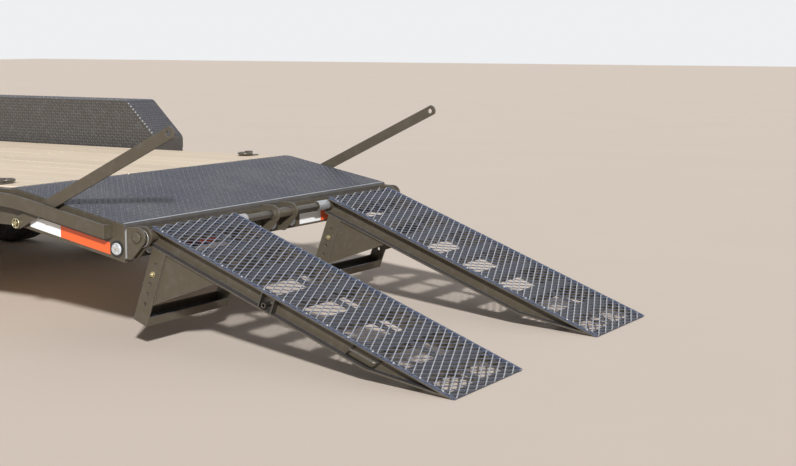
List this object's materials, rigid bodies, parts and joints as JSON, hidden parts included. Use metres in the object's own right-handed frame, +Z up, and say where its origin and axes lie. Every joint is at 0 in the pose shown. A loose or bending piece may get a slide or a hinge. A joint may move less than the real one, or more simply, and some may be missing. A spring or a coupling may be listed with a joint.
{
  "type": "car hauler trailer",
  "caption": "Wood-deck tandem-axle car hauler trailer with treadplate fenders and sloped tail, jack, coupler and fold-down expanded-metal ramps",
  "frame": {"origin": "on the ground, below the middle of the overall length with the ramps lowered, on the centre plane", "axes": "+X forward to the coupler, +Y to the left side, +Z up"},
  "size_m": [9.1118, 2.59, 0.9671],
  "materials": {
    "frame_paint": "satin powder coat, dark bronze grey",
    "treadplate_paint": "satin powder coat over raised tread pattern",
    "ramp_paint": "satin powder coat, dark bronze grey",
    "mesh_paint": "satin powder coat on expanded metal",
    "black_paint": "satin black paint",
    "zinc": "zinc plated",
    "bare_steel": "bare to dull plated steel",
    "deck_wood": "pale treated pine",
    "tyre_rubber": "tyre rubber",
    "wheel_paint": "silver paint",
    "grommet_rubber": "black rubber",
    "clear_lens": "clear lens over white reflector",
    "red_lens": "red lens",
    "red_tape": "retroreflective red tape",
    "white_tape": "retroreflective white tape"
  },
  "bodies": {
    "chassis": {"arm_pins": "zinc", "axle_front": "black_paint", "axle_rear": "black_paint", "coupler": "black_paint", "coupler_channel": "frame_paint", "cross_members": "frame_paint", "deck_planks": "deck_wood", "fender_left": "treadplate_paint", "fender_right": "treadplate_paint", "front_header": "frame_paint", "hinge_ears": "frame_paint", "hinge_shaft": "bare_steel", "jack_body": "zinc", "jack_crank": "zinc", "jack_leg": "zinc", "lamp_grommets": "grommet_rubber", "leaf_springs_left": "black_paint", "leaf_springs_right": "black_paint", "marker_lenses": "clear_lens", "rear_beam": "frame_paint", "rub_rail_left": "frame_paint", "rub_rail_right": "frame_paint", "side_rail_left": "frame_paint", "side_rail_right": "frame_paint", "spring_hangers_left": "frame_paint", "spring_hangers_right": "frame_paint", "stop_rail": "frame_paint", "tail_lenses": "red_lens", "tail_plate": "treadplate_paint", "tail_ribs": "frame_paint", "tape_red": "red_tape", "tape_white": "white_tape", "tie_down_rings": "frame_paint", "tongue_rail_left": "frame_paint", "tongue_rail_right": "frame_paint"},
    "ramp_left": {"ramp_fittings_left": "bare_steel", "ramp_frame_left": "ramp_paint", "ramp_leg_left": "ramp_paint", "ramp_mesh_left": "mesh_paint"},
    "ramp_right": {"ramp_fittings_right": "bare_steel", "ramp_frame_right": "ramp_paint", "ramp_leg_right": "ramp_paint", "ramp_mesh_right": "mesh_paint"},
    "arm_left": {"brace_arm_left": "frame_paint"},
    "arm_right": {"brace_arm_right": "frame_paint"},
    "wheel_set_front_left": {"tyre_front_left": "tyre_rubber", "wheel_front_left": "wheel_paint"},
    "wheel_set_front_right": {"tyre_front_right": "tyre_rubber", "wheel_front_right": "wheel_paint"},
    "wheel_set_rear_left": {"tyre_rear_left": "tyre_rubber", "wheel_rear_left": "wheel_paint"},
    "wheel_set_rear_right": {"tyre_rear_right": "tyre_rubber", "wheel_rear_right": "wheel_paint"}
  },
  "joints": [
    {"name": "wheel_front_left_spin", "type": "hinge", "parent": "chassis", "child": "wheel_set_front_left", "pos_m": [-0.0741, 1.1745, 0.345], "axis": [0, 1, 0], "continuous": true},
    {"name": "wheel_front_right_spin", "type": "hinge", "parent": "chassis", "child": "wheel_set_front_right", "pos_m": [-0.0741, -1.1745, 0.345], "axis": [0, 1, 0], "continuous": true},
    {"name": "wheel_rear_left_spin", "type": "hinge", "parent": "chassis", "child": "wheel_set_rear_left", "pos_m": [-0.9341, 1.1745, 0.345], "axis": [0, 1, 0], "continuous": true},
    {"name": "wheel_rear_right_spin", "type": "hinge", "parent": "chassis", "child": "wheel_set_rear_right", "pos_m": [-0.9341, -1.1745, 0.345], "axis": [0, 1, 0], "continuous": true},
    {"name": "ramp_left_lift", "type": "hinge", "parent": "chassis", "child": "ramp_left", "pos_m": [-3.1071, 0.643, 0.503], "axis": [0, 1, 0], "range_deg": [0, 107.39]},
    {"name": "arm_left_swing", "type": "hinge", "parent": "chassis", "child": "arm_left", "pos_m": [-2.4581, 1.023, 0.523], "axis": [0, 1, 0], "range_deg": [0, 100]},
    {"name": "ramp_right_lift", "type": "hinge", "parent": "chassis", "child": "ramp_right", "pos_m": [-3.1071, -0.643, 0.503], "axis": [0, 1, 0], "range_deg": [0, 107.39]},
    {"name": "arm_right_swing", "type": "hinge", "parent": "chassis", "child": "arm_right", "pos_m": [-2.4581, -1.023, 0.523], "axis": [0, 1, 0], "range_deg": [0, 100]}
  ]
}
